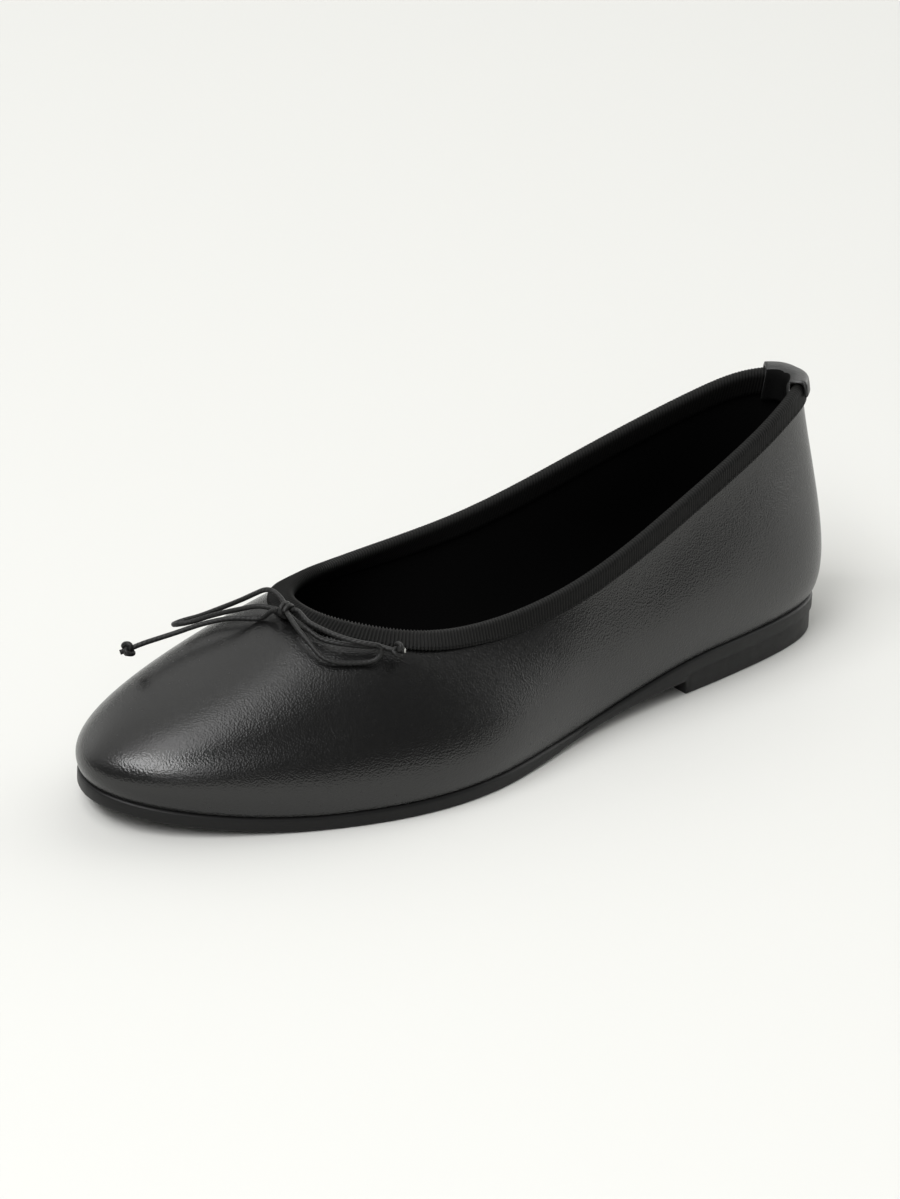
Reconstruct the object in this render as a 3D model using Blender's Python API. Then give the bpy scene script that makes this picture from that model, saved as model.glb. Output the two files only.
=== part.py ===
"""Round-toed ballet flat for the left foot: moulded rubber sole, lasted leather upper, insole, ribbed topline
binding, heel tab, and a thin cord bow with knotted ends.

Metres, +Z up, toe towards -Y, outer side of the foot towards +X. The origin is on the floor under the middle
of the shoe. On the last, "along" runs from the back of the heel to the toe tip and "across" is positive
towards the outer side.
"""
import math

import bmesh
import bpy
import numpy as np
from mathutils import Matrix

MM = 0.001

# Sole
LENGTH = 243 * MM            # back of the heel to the toe tip
BALL_WIDTH = 80 * MM         # widest part of the sole
HEEL_SEAT = 11.1 * MM        # floor to the top of the sole at the heel
TREAD = 4.1 * MM             # sole thickness under the ball, and the band above the heel block
BREAST_LIFT = 4.3 * MM       # floor to the underside in front of the heel block
TOE_SPRING = 6.0 * MM        # floor to the underside of the toe tip
BLOCK_LENGTH = 63.5 * MM     # heel block, back to breast
BREAST_SLOPE = 1.0 * MM
BLOCK_STEP = 0.5 * MM        # heel block behind the band above it
EDGE_ROUND = 0.7 * MM

# Upper
BACK_HEIGHT = 72.0 * MM      # floor to the topline at the heel
THROAT_HEIGHT = 45.8 * MM    # floor to the topline at the throat
WALL = 1.6 * MM              # leather with its lining
MARGIN = 9 * MM              # lasting margin turned in under the insole
FEATHER_INSET = 0.8 * MM     # lower edge of the upper behind the edge of the sole
GAP = 0.3 * MM               # between pieces that meet

# Insole, binding and tab
INSOLE = 2.6 * MM
BINDING = 0.7 * MM
BINDING_OUTSIDE = 4.2 * MM   # down the outer face at the sides and the heel
BINDING_THROAT = 4.9 * MM    # and round the throat
BINDING_INSIDE = 5.5 * MM
TAB = 1.0 * MM
TAB_WIDTH = 16 * MM
TAB_OUTSIDE = 1.6 * MM
TAB_INSIDE = 7.0 * MM

# Cord of the bow
CORD = 1.4 * MM              # diameter
POINT_STEP = 2.6             # route points, in cord diameters

# One row for each station round the last, from the back of the heel by the outer side to the toe and back
# by the inner side. Places are shares of LENGTH and BALL_WIDTH. belly and rise say how far the wall's curve
# leaves the feather edge outwards and upwards, reach and drop how far it leaves the topline outwards and
# downwards, as shares of BACK_HEIGHT.
STATIONS = [
    # name             along   across  top_along top_across  belly  rise   reach  drop
    ("heel back",      0.000,  0.000,  0.008,  0.000,  0.107, 0.15,  0.051, 0.30),
    ("heel corner",    0.026,  0.232,  0.019,  0.082,  0.102, 0.15,  0.051, 0.30),
    ("heel side",      0.143,  0.339,  0.100,  0.193,  0.087, 0.21,  0.050, 0.28),
    ("rear waist",     0.288,  0.384,  0.255,  0.289,  0.070, 0.22,  0.045, 0.24),
    ("waist",          0.432,  0.441,  0.403,  0.347,  0.055, 0.18,  0.035, 0.18),
    ("joint",          0.576,  0.549,  0.538,  0.350,  0.055, 0.17,  0.085, 0.13),
    ("fore",           0.708,  0.537,  0.637,  0.298,  0.055, 0.18,  0.190, 0.10),
    ("toe side",       0.835,  0.402,  0.692,  0.185,  0.070, 0.19,  0.330, 0.12),
    ("toe corner",     0.951,  0.196,  0.720,  0.075,  0.100, 0.20,  0.480, 0.19),
    ("toe tip",        1.000, -0.035,  0.727, -0.025,  0.120, 0.20,  0.550, 0.24),
    ("toe corner in",  0.971, -0.265,  0.720, -0.125,  0.105, 0.19,  0.470, 0.21),
    ("toe side in",    0.888, -0.425,  0.691, -0.225,  0.075, 0.17,  0.320, 0.14),
    ("fore in",        0.752, -0.495,  0.630, -0.322,  0.055, 0.17,  0.160, 0.11),
    ("joint in",       0.600, -0.430,  0.527, -0.362,  0.055, 0.17,  0.080, 0.12),
    ("waist in",       0.432, -0.312,  0.403, -0.318,  0.055, 0.18,  0.055, 0.18),
    ("rear waist in",  0.267, -0.305,  0.247, -0.256,  0.060, 0.22,  0.045, 0.24),
    ("heel side in",   0.133, -0.326,  0.096, -0.183,  0.087, 0.23,  0.050, 0.28),
    ("heel corner in", 0.027, -0.225,  0.020, -0.088,  0.104, 0.15,  0.051, 0.30),
]

# Topline height: share of LENGTH along the opening, share of the way from THROAT_HEIGHT to BACK_HEIGHT.
TOPLINE = [
    # along  height
    (0.00, 1.00),
    (0.05, 0.945),
    (0.10, 0.82),
    (0.25, 0.40),
    (0.43, -0.07),
    (0.60, -0.175),
    (0.73, 0.00),
]

# Routes of the bow's cord in millimetres, each from the middle knot outwards.
LOOP_OUT = [
    # across, along, height
    (1.8, 181.0, 48.1),
    (6.9, 181.2, 47.2),
    (11.6, 180.3, 46.5),
    (15.1, 179.4, 46.2),
    (19.8, 176.9, 45.5),
    (22.7, 174.5, 45.0),
    (24.7, 172.1, 44.6),
    (25.8, 170.6, 43.9),
    (26.0, 170.5, 42.5),
    (25.9, 171.5, 40.9),
    (24.1, 174.9, 39.8),
    (21.3, 179.8, 39.9),
    (17.6, 183.6, 41.1),
    (13.6, 184.6, 43.5),
    (8.4, 185.0, 46.1),
    (1.8, 183.6, 47.8),
]
LOOP_IN = [
    (-3.8, 180.7, 48.0),
    (-9.0, 180.9, 49.6),
    (-14.0, 181.8, 47.3),
    (-19.3, 183.8, 43.3),
    (-25.6, 187.6, 38.8),
    (-30.6, 191.0, 35.5),
    (-33.4, 193.4, 33.9),
    (-33.6, 195.2, 33.6),
    (-31.2, 196.2, 34.7),
    (-28.6, 194.7, 35.8),
    (-24.0, 191.4, 38.5),
    (-19.0, 189.1, 41.3),
    (-13.6, 186.5, 44.0),
    (-9.4, 184.1, 45.6),
    (-3.8, 182.0, 46.2),
]
END_OUT = [
    (1.8, 182.2, 46.2),
    (8.6, 182.2, 45.6),
    (13.1, 181.2, 44.3),
    (16.5, 178.8, 43.7),
    (19.6, 175.4, 43.3),
    (22.1, 171.8, 43.0),
    (23.8, 169.1, 42.8),
    (26.2, 167.5, 42.5),
    (28.2, 166.3, 42.7),
    (29.8, 165.3, 42.9),
]
END_IN = [
    (-3.8, 183.9, 46.6),
    (-7.8, 184.7, 43.0),
    (-12.6, 189.4, 42.2),
    (-16.9, 194.0, 40.9),
    (-19.8, 197.4, 39.4),
    (-22.5, 201.0, 37.6),
    (-25.9, 206.9, 35.4),
    (-28.0, 211.6, 33.9),
    (-29.0, 213.9, 33.0),
    (-29.9, 216.0, 32.3),
]

# Knots, wound round the cord: middle in millimetres, direction of the winding, turns.
KNOTS = [
    # name           across  along  height   direction           turns
    ("bow_knot",     (-1.0, 182.2, 47.4),   (1.0, 0.0, 0.0),      2.0),
    ("end_knot_out", (28.2, 166.3, 42.7),   (0.85, -0.52, 0.08),  1.5),
    ("end_knot_in",  (-29.0, 213.9, 33.0),  (-0.38, 0.87, -0.31), 1.5),
]

# Shares of LENGTH along the sole
SEAT_START = 0.206           # level heel seat ends
SEAT_END = 0.47              # and the tread's own thickness begins
BALL_START = 0.575           # tread meets the floor
BALL_END = 0.79              # and leaves it again
THROAT_START = 0.56          # along the opening, where the binding widens
THROAT_END = 0.64
BREAST = BLOCK_LENGTH / LENGTH

AROUND = 88                  # sections round the upper
ROWS = 10                    # rows from the feather edge to the topline
SOLE_ROWS = 30               # rows along the sole
ACROSS = 6                   # faces across a sole
CROWDING = 0.6               # how much the sole's rows crowd towards its ends
END_ROW = 0.002 * LENGTH     # first and last rows of the outsole from its ends
BREAST_CLEAR = 3 * MM        # rows left out on each side of the breast


def spline(knots, values, closed=False):
    """Natural cubic spline through values at knots, or a repeating one, returned as a function."""
    x = np.asarray(knots, float)
    y = np.asarray(values, float).reshape(len(knots), -1)
    last = len(x) - 1
    step = np.diff(x)
    slope = np.diff(y, axis=0) / step[:, None]
    system = np.eye(last + 1)
    target = np.zeros_like(y)
    for i in range(1, last):
        system[i, i - 1:i + 2] = step[i - 1], 2 * (step[i - 1] + step[i]), step[i]
        target[i] = 6 * (slope[i] - slope[i - 1])
    if closed:
        system[0, [0, 1, last - 1]] = 2 * (step[0] + step[-1]), step[0], step[-1]
        target[0] = 6 * (slope[0] - slope[-1])
        system[last, [0, last]] = 1, -1
    bend = np.linalg.solve(system, target)

    def at(places):
        t = np.asarray(places, float)
        t = x[0] + (t - x[0]) % (x[-1] - x[0]) if closed else np.clip(t, x[0], x[-1])
        i = np.clip(np.searchsorted(x, t, side="right") - 1, 0, last - 1)
        h = step[i][..., None]
        after = (x[i + 1] - t)[..., None] / h
        before = 1 - after
        curve = (after ** 3 - after) * bend[i] + (before ** 3 - before) * bend[i + 1]
        return after * y[i] + before * y[i + 1] + curve * h ** 2 / 6
    return at


def closed_table(rows):
    """Closed spline through a table, a row for each equal step of the turn round the last."""
    columns = np.array([row[1:] for row in rows + rows[:1]], float)
    return spline(np.linspace(0, 1, len(columns)), columns, True)


def height_table(rows):
    places, heights = zip(*rows)
    curve = spline(places, heights)
    return lambda along: curve(along / LENGTH)[..., 0]


STATION = closed_table(STATIONS)
TOPLINE_SHARE = height_table(TOPLINE)


def unit(v):
    return v / np.linalg.norm(v, axis=-1, keepdims=True)


def plan(turn, first):
    """Point in plan at a turn round the last: column first is along, the next one is across."""
    row = STATION(turn)
    return np.stack([row[..., first + 1] * BALL_WIDTH, -row[..., first] * LENGTH], -1)


def outward(turn, first=0):
    """Outward normal in plan."""
    step = 0.002
    run = plan(turn + step, first) - plan(turn - step, first)
    return unit(np.stack([-run[..., 1], run[..., 0]], -1))


def inset_outline(turn, inset):
    return plan(turn, 0) - outward(turn) * inset


def raised(flat, height):
    """Point in space from a point in plan and a height."""
    return np.concatenate([flat, np.broadcast_to(height, flat.shape[:-1])[..., None]], -1)


def eased(share):
    """Smooth step from 0 to 1."""
    share = np.clip(share, 0, 1)
    return share ** 2 * (3 - 2 * share)


def toe_lift(along):
    return np.clip((along / LENGTH - BALL_END) / (1 - BALL_END), 0, 1) ** 1.8 * TOE_SPRING


def sole_top(along):
    seat = eased((SEAT_END - along / LENGTH) / (SEAT_END - SEAT_START))
    return TREAD + (HEEL_SEAT - TREAD) * seat + toe_lift(along)


def sole_underside(along):
    """Underside of the sole in front of the heel block: arch, ball on the floor, toe spring."""
    arch = eased((BALL_START - along / LENGTH) / (BALL_START - BREAST))
    return arch * BREAST_LIFT + toe_lift(along)


# Upper

def wall_point(turn, share):
    """Outer face of the upper: share runs from 0 at the feather edge to 1 at the topline."""
    foot = inset_outline(turn, FEATHER_INSET)
    top = plan(turn, 2)
    row = STATION(turn)
    belly, rise, reach, drop = (row[..., i] * BACK_HEIGHT for i in range(4, 8))
    foot_height = sole_top(-foot[..., 1]) + GAP
    top_height = THROAT_HEIGHT + (BACK_HEIGHT - THROAT_HEIGHT) * TOPLINE_SHARE(-top[..., 1])
    away = unit(foot - top) * 0.7 + outward(turn) * 0.3
    start = raised(foot, foot_height)
    end = raised(top, top_height)
    start_pull = raised(foot + outward(turn) * belly[..., None], foot_height + rise)
    end_pull = raised(top + unit(away) * reach[..., None], top_height - drop)
    t = np.asarray(share, float)[..., None]
    return ((1 - t) ** 3 * start + 3 * (1 - t) ** 2 * t * start_pull
            + 3 * (1 - t) * t ** 2 * end_pull + t ** 3 * end)


def wall_frame(turn, share):
    """Point of the outer face, its outward normal, and its direction up the wall."""
    turn, share = np.broadcast_arrays(turn, share)
    step = 0.001
    low = np.clip(share - step, 0, 1)
    high = np.clip(share + step, 0, 1)
    up = unit(wall_point(turn, high) - wall_point(turn, low))
    run = wall_point(turn + step, share) - wall_point(turn - step, share)
    return wall_point(turn, share), unit(np.cross(up, run)), up


def share_below_topline(turn, distance):
    """Share of the wall at a distance measured down the outer face from the topline."""
    distance = np.broadcast_to(distance, np.shape(turn))
    fine = np.linspace(1, 0.4, 61)
    points = wall_point(np.asarray(turn)[:, None], fine[None])
    walked = np.cumsum(np.linalg.norm(np.diff(points, axis=1), axis=-1), axis=1)
    walked = np.hstack([np.zeros((len(walked), 1)), walked])
    return np.array([np.interp(place, row, fine) for place, row in zip(distance, walked)])


def rim(turn, radius, count):
    """Round over the topline from the outer face to the inner one, at a radius from the wall's middle."""
    point, normal, up = wall_frame(turn, np.ones_like(turn))
    middle = point - normal * WALL / 2
    angles = np.linspace(0, math.pi, count)[:, None, None]
    return middle + radius * (np.cos(angles) * normal + np.sin(angles) * up)


def build_upper():
    turn = np.arange(AROUND) / AROUND
    shares = np.linspace(0, 1, ROWS + 1) ** 1.15
    margin_height = sole_top(-inset_outline(turn, FEATHER_INSET)[:, 1]) + GAP
    outer = [wall_point(turn, np.full(AROUND, share)) for share in shares[:-1]]
    inner = []
    for share in shares[-2:0:-1]:
        point, normal, _ = wall_frame(turn, np.full(AROUND, share))
        inner.append(point - normal * WALL)
    corner = raised(inset_outline(turn, FEATHER_INSET + WALL), margin_height + WALL)
    edge = inset_outline(turn, FEATHER_INSET + MARGIN)
    edge_height = sole_top(-edge[:, 1]) + GAP
    loop = ([raised(edge, edge_height)] + outer + list(rim(turn, WALL / 2, 5)) + inner
            + [corner, raised(edge, edge_height + WALL)])
    return loft(np.stack(loop, 1), True)


# Solids from sections and from stacked outlines

def loft(sections, closed):
    """Skin over closed sections, which either come back to the first one or end in a face."""
    count, size, _ = sections.shape
    number = np.arange(count * size).reshape(count, size)
    spans = range(count) if closed else range(count - 1)
    faces = []
    for i in spans:
        here, there = number[i], number[(i + 1) % count]
        for j in range(size):
            k = (j + 1) % size
            faces.append((here[j], here[k], there[k], there[j]))
    if not closed:
        faces.append(tuple(number[0][::-1]))
        faces.append(tuple(number[-1]))
    return sections.reshape(-1, 3), faces


def stack(outlines):
    """Solid between outlines whose points pair up left and right, closed by rows across its ends."""
    levels, size, _ = outlines.shape
    points = list(outlines.reshape(-1, 3))
    number = np.arange(levels * size).reshape(levels, size)
    faces = []
    for i in range(levels - 1):
        for j in range(size):
            k = (j + 1) % size
            faces.append((number[i][j], number[i][k], number[i + 1][k], number[i + 1][j]))
    for ring in (number[0], number[-1]):
        rows = [[ring[0]] * (ACROSS + 1)]
        for j in range(1, size // 2):
            left, right = ring[j], ring[-j]
            row = [left]
            for k in range(1, ACROSS):
                points.append(points[left] + (points[right] - points[left]) * k / ACROSS)
                row.append(len(points) - 1)
            rows.append(row + [right])
        rows.append([ring[size // 2]] * (ACROSS + 1))
        for near, far in zip(rows, rows[1:]):
            for k in range(ACROSS):
                face = list(dict.fromkeys([near[k], near[k + 1], far[k + 1], far[k]]))
                faces.append(tuple(face))
    return np.array(points), faces


def paired_turns(alongs):
    """Turns of the points that lie at given places along, out by the outer side and back by the inner."""
    turn = np.linspace(-0.1, 0.9, 4001)
    along = -plan(turn, 0)[:, 1]
    heel, toe = along.argmin(), along.argmax()
    outer = np.interp(alongs, along[heel:toe + 1], turn[heel:toe + 1])
    order = np.r_[toe:len(turn), 0:heel + 1]
    unrolled = np.where(order > toe - 1, turn[order], turn[order] + 1)
    inner = np.interp(-alongs, -along[order], unrolled)
    return np.concatenate([[turn[heel]], outer, [turn[toe]], inner[::-1]])


def build_outsole():
    t = (np.arange(SOLE_ROWS) + 0.5) / SOLE_ROWS
    crowded = 0.5 - 0.5 * np.cos(math.pi * t)
    alongs = LENGTH * (crowded * CROWDING + t * (1 - CROWDING))
    alongs = np.sort(np.append(alongs, [END_ROW, LENGTH - END_ROW]))
    alongs = alongs[np.abs(alongs - BLOCK_LENGTH) > BREAST_CLEAR]
    alongs = np.sort(np.append(alongs, [BLOCK_LENGTH - BREAST_SLOPE, BLOCK_LENGTH]))
    turn = paired_turns(alongs)
    along = -plan(turn, 0)[:, 1]
    top = sole_top(along)
    on_block = along < BLOCK_LENGTH - BREAST_SLOPE / 2
    bottom = np.where(on_block, 0, sole_underside(along))
    band = np.where(on_block, top - TREAD, bottom + 2.5 * EDGE_ROUND)
    step = np.where(on_block, BLOCK_STEP, 0)
    levels = [(EDGE_ROUND * 0.6 + 0 * step, top),
              (0 * step, top - EDGE_ROUND),
              (0 * step, band),
              (step, band - EDGE_ROUND * 0.6),
              (step, bottom + EDGE_ROUND),
              (step + EDGE_ROUND, bottom)]
    return stack(np.stack([raised(inset_outline(turn, inset[:, None]), height) for inset, height in levels]))


def build_insole():
    t = (np.arange(SOLE_ROWS) + 0.5) / SOLE_ROWS
    turn = paired_turns(LENGTH * (0.5 - 0.5 * np.cos(math.pi * t)))
    plate_inset = FEATHER_INSET + WALL + GAP * 2
    filler_inset = FEATHER_INSET + MARGIN + GAP * 2
    levels = [(plate_inset, GAP * 2 + WALL + INSOLE),
              (plate_inset, GAP * 2 + WALL),
              (filler_inset, GAP * 2 + WALL),
              (filler_inset, GAP)]
    rings = []
    for inset, lift in levels:
        flat = inset_outline(turn, inset)
        rings.append(raised(flat, sole_top(-flat[:, 1]) + lift))
    return stack(np.stack(rings))


def binding_outside(turn):
    """How far the binding comes down the outer face."""
    along = -plan(turn, 2)[:, 1] / LENGTH
    wide = eased((along - THROAT_START) / (THROAT_END - THROAT_START))
    return BINDING_OUTSIDE + (BINDING_THROAT - BINDING_OUTSIDE) * wide


def wrapped_strip(turn, lift, thickness, outside, inside):
    """Strip folded over the topline, at a lift from the upper, as a section for each turn."""
    def side(parts, reach, offset, sign):
        for part in parts:
            share = share_below_topline(turn, part * reach)
            point, normal, _ = wall_frame(turn, share)
            base = point if sign > 0 else point - normal * WALL
            yield base + normal * offset * sign

    def fold(offset):
        outer = list(side((1, 0.6, 0.25), outside, offset, 1))
        inner = list(side((0.25, 0.6, 1), inside, offset, -1))
        return outer + list(rim(turn, WALL / 2 + offset, 5)) + inner

    return np.stack(fold(lift) + fold(lift + thickness)[::-1], 1)


def build_binding():
    turn = np.arange(AROUND) / AROUND
    return loft(wrapped_strip(turn, GAP, BINDING, binding_outside(turn), BINDING_INSIDE), True)


def build_tab():
    fine = np.linspace(-0.12, 0.12, 241)
    side = wall_point(fine, np.ones_like(fine))[:, 0]
    half = TAB_WIDTH / 2
    turn = np.interp(np.linspace(-half, half, 9), side, fine)
    return loft(wrapped_strip(turn, BINDING + GAP * 2, TAB, TAB_OUTSIDE, TAB_INSIDE), False)


# Cord

def in_millimetres(rows):
    rows = np.asarray(rows, float) * MM
    return np.stack([rows[..., 0], -rows[..., 1], rows[..., 2]], -1)


def smooth_route(rows):
    """Even points on a smooth curve through a route's rows."""
    points = in_millimetres(rows)
    walked = np.concatenate([[0], np.cumsum(np.linalg.norm(np.diff(points, axis=0), axis=1))])
    count = max(3, math.ceil(walked[-1] / (POINT_STEP * CORD)) + 1)
    return spline(walked, points)(np.linspace(0, walked[-1], count))


def winding(middle, direction, turns):
    """Cord wound round a direction, clear of a cord that runs through it."""
    axis = unit(np.array([direction[0], -direction[1], direction[2]]))
    side = unit(np.cross(axis, (0.0, 0.3, 1.0)))
    over = np.cross(axis, side)
    t = np.linspace(0, turns, math.ceil(turns * 8) + 1)[:, None]
    angle = 2 * math.pi * t
    radius = CORD + GAP
    return (in_millimetres(middle) + axis * (t - turns / 2) * radius
            + radius * (np.cos(angle) * side + np.sin(angle) * over))


# Materials and objects

def material(name, colour, roughness):
    made = bpy.data.materials.new(name)
    made.use_nodes = True
    made.diffuse_color = (*colour, 1)
    shader = made.node_tree.nodes["Principled BSDF"]
    shader.inputs["Base Color"].default_value = (*colour, 1)
    shader.inputs["Roughness"].default_value = roughness
    shader.inputs["Metallic"].default_value = 0.0
    return made


def add_solid(name, shape, finish):
    points, faces = shape
    mesh = bpy.data.meshes.new(name)
    mesh.from_pydata([tuple(p) for p in points], [], [tuple(int(i) for i in f) for f in faces])
    work = bmesh.new()
    work.from_mesh(mesh)
    bmesh.ops.recalc_face_normals(work, faces=work.faces)
    work.to_mesh(mesh)
    work.free()
    mesh.materials.append(finish)
    mesh.shade_smooth()
    piece = bpy.data.objects.new(name, mesh)
    bpy.context.scene.collection.objects.link(piece)
    return piece


def add_cord(name, points, finish):
    curve = bpy.data.curves.new(name, "CURVE")
    curve.dimensions = "3D"
    curve.bevel_depth = CORD / 2
    curve.bevel_resolution = 2
    curve.use_fill_caps = True
    line = curve.splines.new("POLY")
    line.points.add(len(points) - 1)
    for knot, place in zip(line.points, points):
        knot.co = (*place, 1)
    curve.materials.append(finish)
    piece = bpy.data.objects.new(name, curve)
    bpy.context.scene.collection.objects.link(piece)
    return piece


def centre_on_floor(solids, cords):
    """Move everything so that the origin is on the floor under the middle of the solids."""
    corners = np.array([point.co for piece in solids for point in piece.data.vertices])
    middle = (corners.min(axis=0) + corners.max(axis=0)) / 2
    move = Matrix.Translation((-middle[0], -middle[1], -corners[:, 2].min()))
    for piece in solids + cords:
        piece.data.transform(move)


def main():
    for old in list(bpy.data.objects):
        bpy.data.objects.remove(old, do_unlink=True)
    rubber = material("sole_rubber", (0.018, 0.018, 0.019), 0.55)
    leather = material("upper_leather", (0.012, 0.012, 0.013), 0.35)
    lining = material("insole_lining", (0.020, 0.019, 0.019), 0.75)
    ribbon = material("binding_ribbon", (0.014, 0.014, 0.015), 0.70)
    strip = material("tab_leather", (0.016, 0.016, 0.017), 0.45)
    cord = material("bow_cord", (0.013, 0.013, 0.013), 0.60)
    solids = [
        add_solid("outsole", build_outsole(), rubber),
        add_solid("upper", build_upper(), leather),
        add_solid("insole", build_insole(), lining),
        add_solid("topline_binding", build_binding(), ribbon),
        add_solid("heel_tab", build_tab(), strip),
    ]
    routes = {"bow_loop_out": LOOP_OUT, "bow_loop_in": LOOP_IN, "bow_end_out": END_OUT, "bow_end_in": END_IN}
    cords = [add_cord(name, smooth_route(rows), cord) for name, rows in routes.items()]
    cords += [add_cord(name, winding(*row), cord) for name, *row in KNOTS]
    centre_on_floor(solids, cords)


main()
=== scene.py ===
"""Looks of the ballet flat: grained black leather, ribbed topline ribbon with its stitches, braided cord bow,
moulded rubber sole and a matt lining, under soft studio light."""

import math

import bmesh
import bpy
import numpy as np
from mathutils import Matrix, Vector


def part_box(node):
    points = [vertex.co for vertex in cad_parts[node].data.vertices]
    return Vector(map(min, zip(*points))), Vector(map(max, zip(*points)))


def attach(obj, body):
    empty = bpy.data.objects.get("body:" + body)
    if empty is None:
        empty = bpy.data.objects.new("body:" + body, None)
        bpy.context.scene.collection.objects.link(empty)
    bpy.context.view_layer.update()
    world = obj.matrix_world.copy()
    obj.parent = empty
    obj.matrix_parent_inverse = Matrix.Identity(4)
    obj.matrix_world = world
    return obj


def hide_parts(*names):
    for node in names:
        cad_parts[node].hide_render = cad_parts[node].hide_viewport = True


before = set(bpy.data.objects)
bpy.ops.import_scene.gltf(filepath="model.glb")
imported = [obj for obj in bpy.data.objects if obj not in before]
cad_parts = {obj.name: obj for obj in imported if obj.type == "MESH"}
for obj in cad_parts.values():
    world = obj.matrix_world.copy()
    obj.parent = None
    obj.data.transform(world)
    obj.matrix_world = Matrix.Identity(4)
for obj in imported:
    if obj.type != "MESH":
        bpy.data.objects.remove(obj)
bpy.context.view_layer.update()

MM = 0.001

# Sizes, as in the part

# Sole
LENGTH = 243 * MM            # back of the heel to the toe tip
BALL_WIDTH = 80 * MM         # widest part of the sole
HEEL_SEAT = 11.1 * MM        # floor to the top of the sole at the heel
TREAD = 4.1 * MM             # sole thickness under the ball, and the band above the heel block
BREAST_LIFT = 4.3 * MM       # floor to the underside in front of the heel block
TOE_SPRING = 6.0 * MM        # floor to the underside of the toe tip
BLOCK_LENGTH = 63.5 * MM     # heel block, back to breast
BREAST_SLOPE = 1.0 * MM
BLOCK_STEP = 0.5 * MM        # heel block behind the band above it
EDGE_ROUND = 0.7 * MM

# Upper
BACK_HEIGHT = 72.0 * MM      # floor to the topline at the heel
THROAT_HEIGHT = 45.8 * MM    # floor to the topline at the throat
WALL = 1.6 * MM              # leather with its lining
MARGIN = 9 * MM              # lasting margin turned in under the insole
FEATHER_INSET = 0.8 * MM     # lower edge of the upper behind the edge of the sole
GAP = 0.3 * MM               # between pieces that meet

# Insole, binding and tab
INSOLE = 2.6 * MM
BINDING = 0.7 * MM
BINDING_OUTSIDE = 4.2 * MM   # down the outer face at the sides and the heel
BINDING_THROAT = 4.9 * MM    # and round the throat
BINDING_INSIDE = 5.5 * MM
TAB = 1.0 * MM
TAB_WIDTH = 16 * MM
TAB_OUTSIDE = 1.6 * MM
TAB_INSIDE = 7.0 * MM

# Cord of the bow
CORD = 1.4 * MM              # diameter

# Round the last, as in the part: a row for each station, from the back of the heel by the outer side.
STATIONS = [
    # name             along   across  top_along top_across  belly  rise   reach  drop
    ("heel back",      0.000,  0.000,  0.008,  0.000,  0.107, 0.15,  0.051, 0.30),
    ("heel corner",    0.026,  0.232,  0.019,  0.082,  0.102, 0.15,  0.051, 0.30),
    ("heel side",      0.143,  0.339,  0.100,  0.193,  0.087, 0.21,  0.050, 0.28),
    ("rear waist",     0.288,  0.384,  0.255,  0.289,  0.070, 0.22,  0.045, 0.24),
    ("waist",          0.432,  0.441,  0.403,  0.347,  0.055, 0.18,  0.035, 0.18),
    ("joint",          0.576,  0.549,  0.538,  0.350,  0.055, 0.17,  0.085, 0.13),
    ("fore",           0.708,  0.537,  0.637,  0.298,  0.055, 0.18,  0.190, 0.10),
    ("toe side",       0.835,  0.402,  0.692,  0.185,  0.070, 0.19,  0.330, 0.12),
    ("toe corner",     0.951,  0.196,  0.720,  0.075,  0.100, 0.20,  0.480, 0.19),
    ("toe tip",        1.000, -0.035,  0.727, -0.025,  0.120, 0.20,  0.550, 0.24),
    ("toe corner in",  0.971, -0.265,  0.720, -0.125,  0.105, 0.19,  0.470, 0.21),
    ("toe side in",    0.888, -0.425,  0.691, -0.225,  0.075, 0.17,  0.320, 0.14),
    ("fore in",        0.752, -0.495,  0.630, -0.322,  0.055, 0.17,  0.160, 0.11),
    ("joint in",       0.600, -0.430,  0.527, -0.362,  0.055, 0.17,  0.080, 0.12),
    ("waist in",       0.432, -0.312,  0.403, -0.318,  0.055, 0.18,  0.055, 0.18),
    ("rear waist in",  0.267, -0.305,  0.247, -0.256,  0.060, 0.22,  0.045, 0.24),
    ("heel side in",   0.133, -0.326,  0.096, -0.183,  0.087, 0.23,  0.050, 0.28),
    ("heel corner in", 0.027, -0.225,  0.020, -0.088,  0.104, 0.15,  0.051, 0.30),
]
TOPLINE = [
    # along  height
    (0.00, 1.00),
    (0.05, 0.945),
    (0.10, 0.82),
    (0.25, 0.40),
    (0.43, -0.07),
    (0.60, -0.175),
    (0.73, 0.00),
]

# Shares of LENGTH along the sole
SEAT_START = 0.206           # level heel seat ends
SEAT_END = 0.47              # and the tread's own thickness begins
BALL_START = 0.575           # tread meets the floor
BALL_END = 0.79              # and leaves it again
THROAT_START = 0.56          # along the opening, where the binding widens
THROAT_END = 0.64
BREAST = BLOCK_LENGTH / LENGTH

# Finish
RIB_PITCH = 0.95 * MM        # ribs of the ribbon
RIB_HEIGHT = 0.14 * MM
GATHER_HEIGHT = 0.45 * MM    # more where the cord gathers the ribbon at the throat
GATHER_START = 0.60          # where that begins, in shares of LENGTH, and how soon it is full
GATHER_RUN = 0.08
STITCH_PITCH = 2.3 * MM
STITCH = 1.5 * MM
THREAD = 0.30 * MM
STITCH_INSET = 0.6 * MM      # stitches from the ribbon's lower edge
TAB_SQUARE = 3.2             # flat top of the folded tab
TUCK = 1.1 * GAP             # foot of the leather down past the gap to the sole
KNOT_SIZE = 0.58 * MM        # end knots
KNOT_DEPTH = 0.4             # share of the way out from the bow knot's middle where a strand starts
STRAND_STEP = 0.5 * CORD     # between rings of a strand
BRAID_PITCH = 1.1 * MM
TREAD_PITCH = 2.6 * MM
GRAIN = 0.50 * MM            # leather's pebbles

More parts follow.
